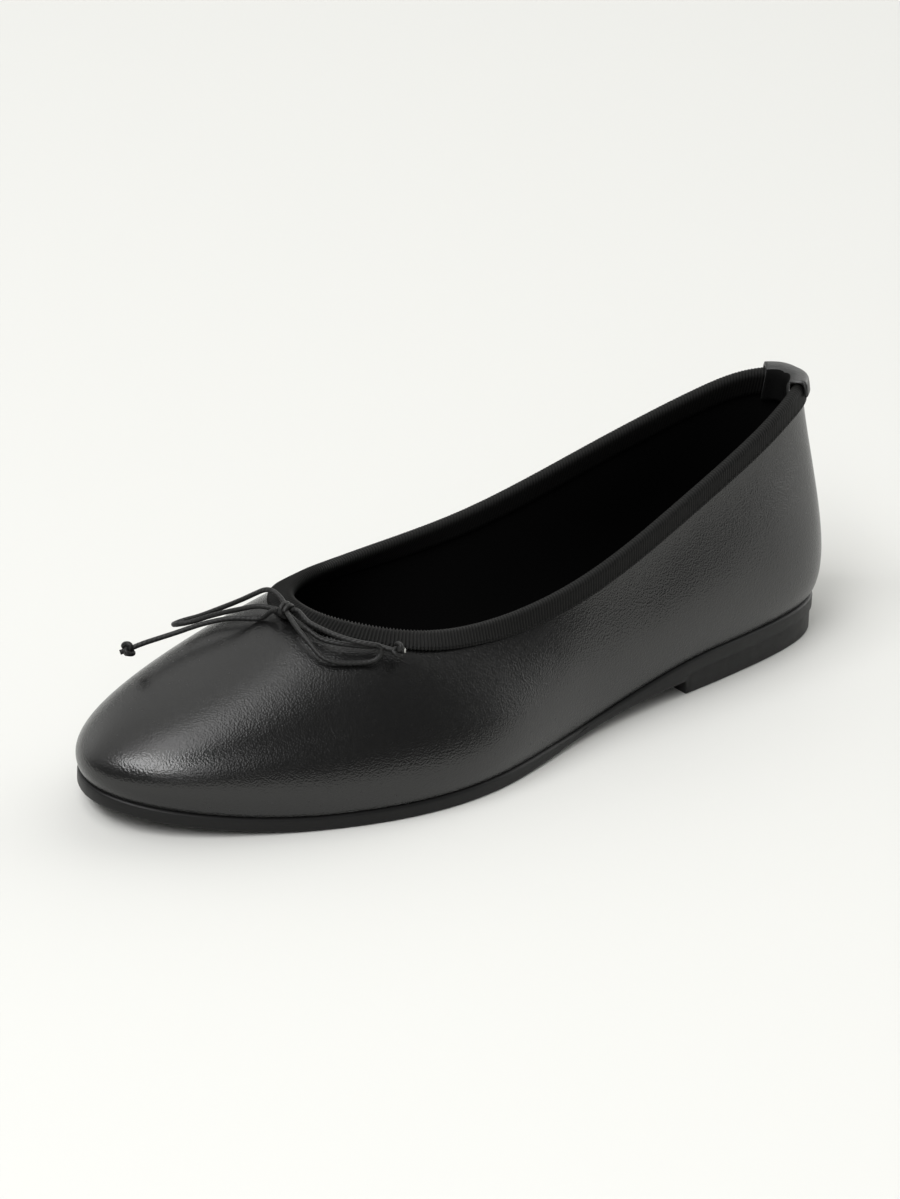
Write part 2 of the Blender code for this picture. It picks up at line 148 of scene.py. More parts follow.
# Fineness of the meshes
UPPER_SECTIONS = 360
UPPER_ROWS = 57
ROW_CROWDING = 1.1           # how much the upper's rows crowd towards its foot
RIM_POINTS = 9               # over the upper's own topline
FOLD = 11                    # points of a strip over the topline
RIB_SECTIONS = 4             # sections for each rib
BINDING_STEPS = 5            # down each limb of the binding
TAB_STEPS = 8
TAB_SECTIONS = 40
TAB_REACH = 0.12             # turn on each side of the heel that holds the tab
SEAM_POINTS = 700
SOLE_ROWS = 110
INSOLE_ROWS = 80
CROWDING = 0.6               # how much the sole's rows crowd towards its ends
END_ROW = 0.0006 * LENGTH    # first and last rows of the outsole from its ends
BREAST_CLEAR = 1.2 * MM      # rows left out on each side of the breast
WINDING_POINTS = 28          # for each turn of the bow's knot
OVERHAND_POINTS = 73
KNOT_SIDES = 14
STRAND_SIDES = 16

# Colours
CORD_BLACK = (0.008, 0.008, 0.0078)
CORE_WHITE = (0.45, 0.45, 0.43)
LEATHER_BLACK = (0.005, 0.005, 0.005)
LINING_BLACK = (0.0015, 0.0015, 0.0015)
RUBBER_BLACK = (0.006, 0.006, 0.006)
TREAD_BLACK = (0.010, 0.010, 0.010)
# Ribbon colours: painted shade in the hollows between the ribs, painted light on the rib tops.
RIB_HOLLOW_PAINTED_SHADE = (0.001, 0.001, 0.001)
RIB_TOP_PAINTED_LIGHT = (0.008, 0.008, 0.0075)
THREAD_BLACK = (0.008, 0.008, 0.008)
TAB_BLACK = (0.012, 0.012, 0.012)
# Inner limb of the heel tab: near-black, as painted shade inside the heel.
TAB_INNER_PAINTED_SHADE = (0.002, 0.002, 0.002)
PAPER = (0.67, 0.67, 0.65)
SKY_WHITE = (1.0, 1.0, 0.975)

# Routes of the bow's cord in millimetres, as in the part
LOOP_OUT = [
    # across, along, height
    (1.8, 181.0, 48.1),
    (6.9, 181.2, 47.2),
    (11.6, 180.3, 46.5),
    (15.1, 179.4, 46.2),
    (19.8, 176.9, 45.5),
    (22.7, 174.5, 45.0),
    (24.7, 172.1, 44.6),
    (25.8, 170.6, 43.9),
    (26.0, 170.5, 42.5),
    (25.9, 171.5, 40.9),
    (24.1, 174.9, 39.8),
    (21.3, 179.8, 39.9),
    (17.6, 183.6, 41.1),
    (13.6, 184.6, 43.5),
    (8.4, 185.0, 46.1),
    (1.8, 183.6, 47.8),
]
LOOP_IN = [
    (-3.8, 180.7, 48.0),
    (-9.0, 180.9, 49.6),
    (-14.0, 181.8, 47.3),
    (-19.3, 183.8, 43.3),
    (-25.6, 187.6, 38.8),
    (-30.6, 191.0, 35.5),
    (-33.4, 193.4, 33.9),
    (-33.6, 195.2, 33.6),
    (-31.2, 196.2, 34.7),
    (-28.6, 194.7, 35.8),
    (-24.0, 191.4, 38.5),
    (-19.0, 189.1, 41.3),
    (-13.6, 186.5, 44.0),
    (-9.4, 184.1, 45.6),
    (-3.8, 182.0, 46.2),
]
END_OUT = [
    (1.8, 182.2, 46.2),
    (8.6, 182.2, 45.6),
    (13.1, 181.2, 44.3),
    (16.5, 178.8, 43.7),
    (19.6, 175.4, 43.3),
    (22.1, 171.8, 43.0),
    (23.8, 169.1, 42.8),
    (26.2, 167.5, 42.5),
    (28.2, 166.3, 42.7),
    (29.8, 165.3, 42.9),
]
END_IN = [
    (-3.8, 183.9, 46.6),
    (-7.8, 184.7, 43.0),
    (-12.6, 189.4, 42.2),
    (-16.9, 194.0, 40.9),
    (-19.8, 197.4, 39.4),
    (-22.5, 201.0, 37.6),
    (-25.9, 206.9, 35.4),
    (-28.0, 211.6, 33.9),
    (-29.0, 213.9, 33.0),
    (-29.9, 216.0, 32.3),
]

# Knots, wound round the cord: middle in millimetres, direction of the winding, turns.
KNOTS = [
    # name           across  along  height   direction           turns
    ("bow_knot",     (-1.0, 182.2, 47.4),   (1.0, 0.0, 0.0),      2.0),
    ("end_knot_out", (28.2, 166.3, 42.7),   (0.85, -0.52, 0.08),  1.5),
    ("end_knot_in",  (-29.0, 213.9, 33.0),  (-0.38, 0.87, -0.31), 1.5),
]

# Camera, from the photo
EYE = Vector((1.06476, -0.88893, 0.70659))
AIM = Vector((-0.0039, -0.0046, 0.0345))
ROLL = math.radians(2.209)
FRAME_HEIGHT = 1199          # pixels of the photo's long side, which the sensor's width covers
FOCAL_PIXELS = 4200          # focal length in the photo's pixels
CLOSER = 1.33                # this frame's scale against the photo's
SENSOR = 36                  # width in millimetres

# Light, in degrees, metres and watts. Azimuth 0 is in front of the toe and 90 on the outer side.
SURROUNDING_LIGHT = 0.12
SURROUNDINGS = [
    # azimuth elevation spread change
    (-75, 50, 55, 0.60),
    (-82, 6, 34, 0.60),
    (-160, 30, 48, 1.70),
    (174, 4, 36, 2.40),
]
PANELS = [
    # name         azimuth elevation roll distance width height power
    ("front_window", 13, 51, -24, 4.0, 3.9, 1.2, 134),
    ("side_window", 54, 29, -12, 4.0, 1.3, 1.7, 15),
    ("top_panel", -20, 76, 0, 4.0, 3.2, 1.3, 34),
]
FLOOR_REACH = 9.0


# Form of the last, as in the part

def spline(knots, values, closed=False):
    """Natural cubic spline through values at knots, or a repeating one, returned as a function."""
    x = np.asarray(knots, float)
    y = np.asarray(values, float).reshape(len(knots), -1)
    last = len(x) - 1
    step = np.diff(x)
    slope = np.diff(y, axis=0) / step[:, None]
    system = np.eye(last + 1)
    target = np.zeros_like(y)
    for i in range(1, last):
        system[i, i - 1:i + 2] = step[i - 1], 2 * (step[i - 1] + step[i]), step[i]
        target[i] = 6 * (slope[i] - slope[i - 1])
    if closed:
        system[0, [0, 1, last - 1]] = 2 * (step[0] + step[-1]), step[0], step[-1]
        target[0] = 6 * (slope[0] - slope[-1])
        system[last, [0, last]] = 1, -1
    bend = np.linalg.solve(system, target)

    def at(places):
        t = np.asarray(places, float)
        t = x[0] + (t - x[0]) % (x[-1] - x[0]) if closed else np.clip(t, x[0], x[-1])
        i = np.clip(np.searchsorted(x, t, side="right") - 1, 0, last - 1)
        h = step[i][..., None]
        after = (x[i + 1] - t)[..., None] / h
        before = 1 - after
        curve = (after ** 3 - after) * bend[i] + (before ** 3 - before) * bend[i + 1]
        return after * y[i] + before * y[i + 1] + curve * h ** 2 / 6
    return at


def closed_table(rows):
    """Closed spline through a table, a row for each equal step of the turn round the last."""
    columns = np.array([row[1:] for row in rows + rows[:1]], float)
    return spline(np.linspace(0, 1, len(columns)), columns, True)


def height_table(rows):
    """Curve of heights over places along the shoe."""
    places, heights = zip(*rows)
    curve = spline(places, heights)
    return lambda along: curve(along / LENGTH)[..., 0]


STATION = closed_table(STATIONS)
TOPLINE_SHARE = height_table(TOPLINE)


def unit(v):
    return v / np.linalg.norm(v, axis=-1, keepdims=True)


def plan(turn, first):
    """Point in plan at a turn round the last: column first is along, the next one is across."""
    row = STATION(turn)
    return np.stack([row[..., first + 1] * BALL_WIDTH, -row[..., first] * LENGTH], -1)


def outward(turn, first=0):
    """Outward normal in plan."""
    step = 0.002
    run = plan(turn + step, first) - plan(turn - step, first)
    return unit(np.stack([-run[..., 1], run[..., 0]], -1))


def inset_outline(turn, inset):
    return plan(turn, 0) - outward(turn) * inset


def raised(flat, height):
    """Point in space from a point in plan and a height."""
    return np.concatenate([flat, np.broadcast_to(height, flat.shape[:-1])[..., None]], -1)


def eased(share):
    """Smooth step from 0 to 1."""
    share = np.clip(share, 0, 1)
    return share ** 2 * (3 - 2 * share)


def toe_lift(along):
    return np.clip((along / LENGTH - BALL_END) / (1 - BALL_END), 0, 1) ** 1.8 * TOE_SPRING


def sole_top(along):
    seat = eased((SEAT_END - along / LENGTH) / (SEAT_END - SEAT_START))
    return TREAD + (HEEL_SEAT - TREAD) * seat + toe_lift(along)


def sole_underside(along):
    """Underside of the sole in front of the heel block: arch, ball on the floor, toe spring."""
    arch = eased((BALL_START - along / LENGTH) / (BALL_START - BREAST))
    return arch * BREAST_LIFT + toe_lift(along)


# Upper

def wall_point(turn, share):
    """Outer face of the upper: share runs from 0 at the feather edge to 1 at the topline."""
    foot = inset_outline(turn, FEATHER_INSET)
    top = plan(turn, 2)
    row = STATION(turn)
    belly, rise, reach, drop = (row[..., i] * BACK_HEIGHT for i in range(4, 8))
    foot_height = sole_top(-foot[..., 1]) + GAP
    top_height = THROAT_HEIGHT + (BACK_HEIGHT - THROAT_HEIGHT) * TOPLINE_SHARE(-top[..., 1])
    away = unit(foot - top) * 0.7 + outward(turn) * 0.3
    start = raised(foot, foot_height)
    end = raised(top, top_height)
    start_pull = raised(foot + outward(turn) * belly[..., None], foot_height + rise)
    end_pull = raised(top + unit(away) * reach[..., None], top_height - drop)
    t = np.asarray(share, float)[..., None]
    return ((1 - t) ** 3 * start + 3 * (1 - t) ** 2 * t * start_pull
            + 3 * (1 - t) * t ** 2 * end_pull + t ** 3 * end)


def wall_frame(turn, share):
    """Point of the outer face, its outward normal, and its direction up the wall."""
    turn, share = np.broadcast_arrays(turn, share)
    step = 0.001
    low = np.clip(share - step, 0, 1)
    high = np.clip(share + step, 0, 1)
    up = unit(wall_point(turn, high) - wall_point(turn, low))
    run = wall_point(turn + step, share) - wall_point(turn - step, share)
    return wall_point(turn, share), unit(np.cross(up, run)), up


def share_below_topline(turn, distance):
    """Share of the wall at a distance measured down the outer face from the topline."""
    distance = np.broadcast_to(distance, np.shape(turn))
    fine = np.linspace(1, 0.4, 61)
    points = wall_point(np.asarray(turn)[:, None], fine[None])
    walked = np.cumsum(np.linalg.norm(np.diff(points, axis=1), axis=-1), axis=1)
    walked = np.hstack([np.zeros((len(walked), 1)), walked])
    return np.array([np.interp(place, row, fine) for place, row in zip(distance, walked)])


def over_topline(turn, radius, count, square=2.0):
    """Fold over the topline from the outer face to the inner one, at a radius from the wall's middle.

    A fold of square 2 is round, and a larger number flattens its top.
    """
    point, normal, up = wall_frame(turn, np.ones_like(turn))
    middle = point - normal * WALL / 2
    angles = np.linspace(0, math.pi, count)[:, None, None]
    across = np.sign(np.cos(angles)) * np.abs(np.cos(angles)) ** (2 / square)
    rise = np.abs(np.sin(angles)) ** (2 / square)
    return middle + radius * (across * normal + rise * up)


def paired_turns(alongs):
    """Turns of the points that lie at given places along, out by the outer side and back by the inner."""
    turn = np.linspace(-0.1, 0.9, 4001)
    along = -plan(turn, 0)[:, 1]
    heel, toe = along.argmin(), along.argmax()
    outer = np.interp(alongs, along[heel:toe + 1], turn[heel:toe + 1])
    order = np.r_[toe:len(turn), 0:heel + 1]
    unrolled = np.where(order > toe - 1, turn[order], turn[order] + 1)
    inner = np.interp(-alongs, -along[order], unrolled)
    return np.concatenate([[turn[heel]], outer, [turn[toe]], inner[::-1]])


def binding_outside(turn):
    """How far the binding comes down the outer face."""
    along = -plan(turn, 2)[:, 1] / LENGTH
    wide = eased((along - THROAT_START) / (THROAT_END - THROAT_START))
    return BINDING_OUTSIDE + (BINDING_THROAT - BINDING_OUTSIDE) * wide


def in_millimetres(rows):
    """Points from rows that hold across, along and height in millimetres."""
    rows = np.asarray(rows, float) * MM
    return np.stack([rows[..., 0], -rows[..., 1], rows[..., 2]], -1)


def knot_directions(direction):
    """A knot's direction in the frame's axes, and two directions across it."""
    axis = unit(np.array([direction[0], -direction[1], direction[2]]))
    side = unit(np.cross(axis, (0.0, 0.3, 1.0)))
    return axis, side, np.cross(axis, side)


def winding(middle, direction, turns):
    """Cord wound round a direction, clear of a cord that runs through it."""
    axis, side, over = knot_directions(direction)
    t = np.linspace(0, turns, math.ceil(turns * WINDING_POINTS) + 1)[:, None]
    angle = 2 * math.pi * t
    radius = CORD + GAP
    return (in_millimetres(middle) + axis * (t - turns / 2) * radius
            + radius * (np.cos(angle) * side + np.sin(angle) * over))


# Finer sections of the same forms

def strip_sections(turn, lift, thickness, outside, inside, steps, square=2.0):
    """Strip folded over the topline at a lift from the leather, with softened edges."""
    reaches = np.linspace(1, 0, steps, endpoint=False)

    def side(share_of_limb, limb, offset, sign):
        share = share_below_topline(turn, share_of_limb * limb)
        point, normal, _ = wall_frame(turn, share)
        base = point if sign > 0 else point - normal * WALL
        return base + normal * offset * sign

    def fold(offset):
        outer = [side(reach, outside, offset, 1) for reach in reaches]
        inner = [side(reach, inside, offset, -1) for reach in reaches[::-1]]
        return outer + list(over_topline(turn, WALL / 2 + offset, FOLD, square)) + inner

    middle = lift + thickness / 2
    hem = thickness * 0.35
    first = side(1 + hem / outside, outside, middle, 1)
    last = side(1 + hem / inside, inside, middle, -1)
    return np.stack([first] + fold(lift + thickness) + [last] + fold(lift)[::-1], 1)


def rows_along(count, crowding):
    """Places along the sole, a share of them crowded towards its ends."""
    t = (np.arange(count) + 0.5) / count
    return LENGTH * ((0.5 - 0.5 * np.cos(math.pi * t)) * crowding + t * (1 - crowding))


def smooth_route(rows, step):
    """Even points on a smooth curve through a route's rows."""
    points = in_millimetres(rows)
    walked = np.concatenate([[0], np.cumsum(np.linalg.norm(np.diff(points, axis=0), axis=1))])
    count = max(4, math.ceil(walked[-1] / step) + 1)
    return spline(walked, points)(np.linspace(0, walked[-1], count))


def overhand(middle, direction):
    """Cord's path through a tight overhand knot, as a closed three-lobed line round the direction."""
    axis, side, over = knot_directions(direction)
    t = np.linspace(0, 2 * math.pi, OVERHAND_POINTS)[:, None]
    return (in_millimetres(middle) + KNOT_SIZE * ((np.sin(t) + 2 * np.sin(2 * t)) * side
            + (np.cos(t) - 2 * np.cos(2 * t)) * over - 1.5 * np.sin(3 * t) * axis))


def inside_knot(row):
    """Where a strand goes on inside the bow's knot."""
    middle = KNOTS[0][1]
    return tuple(m + (r - m) * KNOT_DEPTH for m, r in zip(middle, row))


def tube_sections(points, radius, sides):
    """Rings round a path, turned as little as the path allows, as sections for skin()."""
    run = unit(np.gradient(points, axis=0))
    side = np.cross(run[0], (0.0, 0.0, 1.0))
    rings = []
    for place, way in zip(points, run):
        side = unit(side - way * (side @ way))
        over = np.cross(way, side)
        angle = np.linspace(0, 2 * math.pi, sides, endpoint=False)[:, None]
        rings.append(place + radius * (np.cos(angle) * side + np.sin(angle) * over))
    return np.array(rings)


# Meshes

def shift_to_frame():
    """The forms above start at the back of the heel; the frame's origin is under the middle of the shoe."""
    flat = plan(np.linspace(0, 1, 2000, endpoint=False), 0)
    drawn = (flat.min(axis=0) + flat.max(axis=0)) / 2
    low, high = (np.array(corner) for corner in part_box("outsole"))
    return np.append(((low + high) / 2)[:2] - drawn, 0.0)


SHIFT = shift_to_frame()


def piece_from(name, points, faces, finishes, face_finish=None, loop_uv=None):
    """Closed mesh with its faces outwards, shaded smooth, in the frame, riding on the shoe."""
    mesh = bpy.data.meshes.new(name)
    mesh.from_pydata((points + SHIFT).tolist(), [], faces)
    if loop_uv is not None:
        mesh.uv_layers.new(name="UVMap").uv.foreach_set("vector", np.ravel(loop_uv))
    for finish in finishes:
        mesh.materials.append(finish)
    if face_finish is not None:
        mesh.polygons.foreach_set("material_index", face_finish)
    work = bmesh.new()
    work.from_mesh(mesh)
    bmesh.ops.recalc_face_normals(work, faces=work.faces)
    work.to_mesh(mesh)
    work.free()
    mesh.shade_smooth()
    piece = bpy.data.objects.new(name, mesh)
    bpy.context.scene.collection.objects.link(piece)
    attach(piece, "root")
    return piece


def skin(name, sections, closed, finishes, finish_of_row=None, around=None, cut_end=0):
    """Skin over closed sections. UV is in metres: along the sections, then round each one."""
    count, size, _ = sections.shape
    number = np.arange(count * size).reshape(count, size)
    spans = count if closed else count - 1
    i, j = np.meshgrid(np.arange(spans), np.arange(size), indexing="ij")
    after, beside = (i + 1) % count, (j + 1) % size
    quads = np.stack([number[i, j], number[i, beside], number[after, beside], number[after, j]], -1)
    middle = sections.mean(axis=1)
    steps = np.linalg.norm(np.roll(middle, -1, axis=0) - middle, axis=1)
    if around is not None:
        steps = np.full(count, around / count)
    along = np.concatenate([[0], np.cumsum(steps)])
    girth = np.linalg.norm(np.roll(sections[0], -1, axis=0) - sections[0], axis=1)
    across = np.concatenate([[0], np.cumsum(girth)])
    uv = np.stack([
        np.stack([along[i], across[j]], -1),
        np.stack([along[i], across[j + 1]], -1),
        np.stack([along[i + 1], across[j + 1]], -1),
        np.stack([along[i + 1], across[j]], -1),
    ], -2).reshape(-1, 2)
    faces = quads.reshape(-1, 4).tolist()
    kinds = np.zeros(len(faces), int) if finish_of_row is None else np.tile(finish_of_row, spans)
    if not closed:
        faces += [number[0][::-1].tolist(), number[-1].tolist()]
        uv = np.vstack([uv, np.zeros((2 * size, 2))])
        kinds = np.append(kinds, [0, cut_end])
    return piece_from(name, sections.reshape(-1, 3), faces, finishes, kinds, uv)


def stacked(name, outlines, finishes, under_finish=0, across=12):
    """Solid between outlines whose points pair up left and right, its ends closed by rows."""
    levels, size, _ = outlines.shape
    points = list(outlines.reshape(-1, 3))
    number = np.arange(levels * size).reshape(levels, size)
    faces = []
    for i in range(levels - 1):
        for j in range(size):
            k = (j + 1) % size
            faces.append([int(v) for v in (number[i][j], number[i][k], number[i + 1][k], number[i + 1][j])])
    kinds = [0] * len(faces)
    for ring, kind in ((number[0], 0), (number[-1], under_finish)):
        rows = [[int(ring[0])] * (across + 1)]
        for j in range(1, size // 2):
            left, right = int(ring[j]), int(ring[-j])
            row = [left]
            for k in range(1, across):
                points.append(points[left] + (points[right] - points[left]) * k / across)
                row.append(len(points) - 1)
            rows.append(row + [right])
        rows.append([int(ring[size // 2])] * (across + 1))
        for near, far in zip(rows, rows[1:]):
            for k in range(across):
                faces.append(list(dict.fromkeys([near[k], near[k + 1], far[k + 1], far[k]])))
                kinds.append(kind)
    return piece_from(name, np.array(points), faces, finishes, kinds)


# Materials

class Finish:
    """Material with a Principled shader, and short calls to add the nodes that drive it."""

    def __init__(self, name, colour, roughness, **sockets):
        self.material = bpy.data.materials.new(name)
        self.material.use_nodes = True
        self.nodes = self.material.node_tree.nodes
        self.links = self.material.node_tree.links
        self.shader = self.nodes["Principled BSDF"]
        self.shader.inputs["Base Color"].default_value = (*colour, 1)
        self.shader.inputs["Roughness"].default_value = roughness
        for socket, value in sockets.items():
            self.shader.inputs[socket.replace("_", " ")].default_value = value
        self.place = self.nodes.new("ShaderNodeTexCoord")

    def add(self, kind, **values):
        node = self.nodes.new("ShaderNode" + kind)
        for name, value in values.items():
            if hasattr(node, name):
                setattr(node, name, value)
            else:
                node.inputs[name.replace("_", " ")].default_value = value
        return node

    def join(self, output, node, socket):
        self.links.new(output, node.inputs[socket])

    def noise(self, size, detail=2.0, roughness=0.5):
        node = self.add("TexNoise", Scale=1 / size, Detail=detail, Roughness=roughness)
        self.join(self.place.outputs["Object"], node, "Vector")
        return node.outputs["Fac"]

    def pebbles(self, size):
        node = self.add("TexVoronoi", Scale=1 / size, feature="SMOOTH_F1", Smoothness=0.6)
        self.join(self.place.outputs["Object"], node, "Vector")
        return node.outputs["Distance"]

    def bands(self, size, coordinate="UV", direction="X", turn=0.0, start=0.0):
        """Waves of a given wavelength."""
        mapping = self.add("Mapping")
        mapping.inputs["Rotation"].default_value = (0, 0, turn)
        mapping.inputs["Location"].default_value = (start, 0, 0)
        self.join(self.place.outputs[coordinate], mapping, "Vector")
        wave = self.add("TexWave", Scale=math.pi / 10 / size, bands_direction=direction)
        self.join(mapping.outputs["Vector"], wave, "Vector")
        return wave.outputs["Fac"]

    def spread(self, output, low, high):
        """A 0 to 1 output spread over a range."""
        node = self.add("MapRange", To_Min=low, To_Max=high)
        self.join(output, node, "Value")
        return node.outputs["Result"]

    def bump(self, output, height, strength=1.0):
        """Relief of a height in metres, over any relief added before."""
        node = self.add("Bump", Strength=strength, Distance=height)
        self.join(output, node, "Height")
        before = self.shader.inputs["Normal"].links
        if before:
            self.join(before[0].from_socket, node, "Normal")
        self.join(node.outputs["Normal"], self.shader, "Normal")

    def drive(self, output, socket):
        self.join(output, self.shader, socket)

    def tint(self, output, low, high):
        """Base colour between two colours."""
        node = self.add("Mix", data_type="RGBA")
        node.inputs[6].default_value = (*low, 1)
        node.inputs[7].default_value = (*high, 1)
        self.links.new(output, node.inputs[0])
        self.links.new(node.outputs[2], self.shader.inputs["Base Color"])


def leather(name, colour, roughness):
    """Smooth leather: fine pebbled grain under a thin polish."""
    made = Finish(name, colour, roughness, Specular_IOR_Level=0.62)
    made.bump(made.noise(14 * MM, 1.0), 0.25 * MM, 0.5)
    made.bump(made.pebbles(GRAIN), 0.075 * MM, 0.85)
    made.bump(made.noise(0.3 * MM, 3.0), 0.02 * MM, 0.5)
    made.drive(made.spread(made.noise(1.6 * MM, 3.0), roughness - 0.05, roughness + 0.07), "Roughness")
    return made.material


def cloth(name, colour, roughness, weave):
    """Matt cloth with a soft uneven weave."""
    made = Finish(name, colour, roughness, Specular_IOR_Level=0.12)
    made.bump(made.noise(weave, 2.0), 0.10 * MM, 0.6)
    return made.material


def ribbon(name, low, high):
    """Ribbed silk ribbon with fine threads along it. Its colour is painted in bands at the ribs' pitch: paler
    on the rib tops as painted light, darker in the hollows between them as painted shade.
    """
    made = Finish(name, high, 0.55, Specular_IOR_Level=0.14)
    made.bump(made.bands(0.28 * MM, direction="Y"), 0.03 * MM, 0.6)
    made.bump(made.noise(0.5 * MM, 2.0), 0.03 * MM, 0.4)
    # Painted light and shade: colour bands at the ribs' pitch, pale on the rib tops and dark in the hollows.
    made.tint(made.bands(RIB_PITCH, start=RIB_PITCH / 4), low, high)
    return made.material


def braid(name, colour):
    """Braided round cord: two crossing sets of strands."""
    made = Finish(name, colour, 0.5, Specular_IOR_Level=0.35)
    made.bump(made.bands(BRAID_PITCH, turn=math.radians(38)), 0.07 * MM, 0.7)
    made.bump(made.bands(BRAID_PITCH, turn=math.radians(-38)), 0.07 * MM, 0.7)
    return made.material


def rubber(name, colour, roughness, tread=False):
    """Moulded rubber, faintly uneven, with ribs across the shoe where it is tread."""
    made = Finish(name, colour, roughness, Specular_IOR_Level=0.28)
    made.bump(made.noise(0.5 * MM, 3.0), 0.03 * MM, 0.5)
    made.drive(made.spread(made.noise(3 * MM, 2.0), roughness - 0.06, roughness + 0.08), "Roughness")
    if tread:
        made.bump(made.bands(TREAD_PITCH, "Object", "Y"), 0.5 * MM, 0.9)
    return made.material


# Repeating detail

def node_group(name, sizes):
    """Geometry tree with a mesh or curve in, and inputs for its named sizes."""
    tree = bpy.data.node_groups.new(name, "GeometryNodeTree")
    tree.interface.new_socket("Geometry", in_out="INPUT", socket_type="NodeSocketGeometry")
    for label in sizes:
        tree.interface.new_socket(label, in_out="INPUT", socket_type="NodeSocketFloat")
    tree.interface.new_socket("Geometry", in_out="OUTPUT", socket_type="NodeSocketGeometry")
    return tree, tree.nodes.new("NodeGroupInput"), tree.nodes.new("NodeGroupOutput")


def math_node(tree, operation, first, second):
    """Output of a sum or product of numbers and other nodes' outputs."""
    node = tree.nodes.new("ShaderNodeMath")
    node.operation = operation
    for i, value in enumerate((first, second)):
        if isinstance(value, (int, float)):
            node.inputs[i].default_value = value
        elif value is not None:
            tree.links.new(value, node.inputs[i])
    return node.outputs[0]


def stored_value(tree, label):
    """Output that reads a value stored on the mesh's points."""
    node = tree.nodes.new("GeometryNodeInputNamedAttribute")
    node.data_type = "FLOAT"
    node.inputs["Name"].default_value = label
    return node.outputs["Attribute"]


def finish_tree(tree, geometry, result, finish):
    """End a tree with real geometry in its finish."""
    real = tree.nodes.new("GeometryNodeRealizeInstances")
    paint = tree.nodes.new("GeometryNodeSetMaterial")
    paint.inputs["Material"].default_value = finish
    tree.links.new(geometry, real.inputs["Geometry"])
    tree.links.new(real.outputs["Geometry"], paint.inputs["Geometry"])
    tree.links.new(paint.outputs["Geometry"], result.inputs[0])
    return tree


RIB_SIZES = {"Rib pitch": RIB_PITCH, "Rib height": RIB_HEIGHT, "Gathered height": GATHER_HEIGHT}
STITCH_SIZES = {"Pitch": STITCH_PITCH, "Length": STITCH, "Thread": THREAD}


def rib_tree(finish):
    """Ribs across a ribbon: waves along its length, higher where it is gathered."""
    tree, given, result = node_group("ribbon_ribs", RIB_SIZES)
    turns = math_node(tree, "DIVIDE", stored_value(tree, "along_ribbon"), given.outputs["Rib pitch"])
    wave = math_node(tree, "SINE", math_node(tree, "MULTIPLY", turns, 2 * math.pi), None)
    extra = math_node(tree, "MULTIPLY", stored_value(tree, "gathered"), given.outputs["Gathered height"])
    height = math_node(tree, "MULTIPLY", wave, math_node(tree, "ADD", extra, given.outputs["Rib height"]))
    normal = tree.nodes.new("GeometryNodeInputNormal")
    offset = tree.nodes.new("ShaderNodeVectorMath")
    offset.operation = "SCALE"
    tree.links.new(normal.outputs[0], offset.inputs[0])
    tree.links.new(math_node(tree, "MULTIPLY", height, 0.5), offset.inputs["Scale"])
    move = tree.nodes.new("GeometryNodeSetPosition")
    tree.links.new(given.outputs["Geometry"], move.inputs["Geometry"])
    tree.links.new(offset.outputs[0], move.inputs["Offset"])
    return finish_tree(tree, move.outputs["Geometry"], result, finish)


def stitch_tree(finish):
    """Stitches along a line: short rods at an even pitch, laid along it."""
    tree, given, result = node_group("stitches", STITCH_SIZES)
    spaced = tree.nodes.new("GeometryNodeResampleCurve")
    spaced.mode = "LENGTH"
    tree.links.new(given.outputs["Geometry"], spaced.inputs["Curve"])
    tree.links.new(given.outputs["Pitch"], spaced.inputs["Length"])
    tangent = tree.nodes.new("GeometryNodeInputTangent")
    align = tree.nodes.new("FunctionNodeAlignEulerToVector")
    align.axis = "Z"
    tree.links.new(tangent.outputs[0], align.inputs["Vector"])
    rod = tree.nodes.new("GeometryNodeMeshUVSphere")
    rod.inputs["Segments"].default_value = 6
    rod.inputs["Rings"].default_value = 5
    rod.inputs["Radius"].default_value = 1.0
    size = tree.nodes.new("ShaderNodeCombineXYZ")
    half = math_node(tree, "MULTIPLY", given.outputs["Thread"], 0.5)
    tree.links.new(half, size.inputs[0])
    tree.links.new(half, size.inputs[1])
    tree.links.new(math_node(tree, "MULTIPLY", given.outputs["Length"], 0.5), size.inputs[2])
    copies = tree.nodes.new("GeometryNodeInstanceOnPoints")
    tree.links.new(spaced.outputs["Curve"], copies.inputs["Points"])
    tree.links.new(rod.outputs["Mesh"], copies.inputs["Instance"])
    tree.links.new(align.outputs["Rotation"], copies.inputs["Rotation"])
    tree.links.new(size.outputs[0], copies.inputs["Scale"])
    return finish_tree(tree, copies.outputs["Instances"], result, finish)


def grown(name, source, tree, sizes):
    """Plain mesh from a source object with a geometry tree on it, its inputs set to the named sizes."""
    modifier = source.modifiers.new("grow", "NODES")
    modifier.node_group = tree
    for socket in tree.interface.items_tree:
        if socket.name in sizes:
            modifier[socket.identifier] = sizes[socket.name]
    source.update_tag()
    bpy.context.view_layer.update()
    mesh = bpy.data.meshes.new_from_object(source.evaluated_get(bpy.context.evaluated_depsgraph_get()))
    mesh.name = name
    mesh.shade_smooth()
    bpy.data.objects.remove(source, do_unlink=True)
    piece = bpy.data.objects.new(name, mesh)
    bpy.context.scene.collection.objects.link(piece)
    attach(piece, "root")
    return piece


def line_object(name, points, closed):
    """Curve object through points."""
    curve = bpy.data.curves.new(name, "CURVE")
    curve.dimensions = "3D"
    line = curve.splines.new("POLY")
    line.points.add(len(points) - 1)
    line.use_cyclic_u = closed
    line.points.foreach_set("co", np.column_stack([points + SHIFT, np.ones(len(points))]).ravel())
    piece = bpy.data.objects.new(name, curve)
    bpy.context.scene.collection.objects.link(piece)
    return piece


# Camera and light

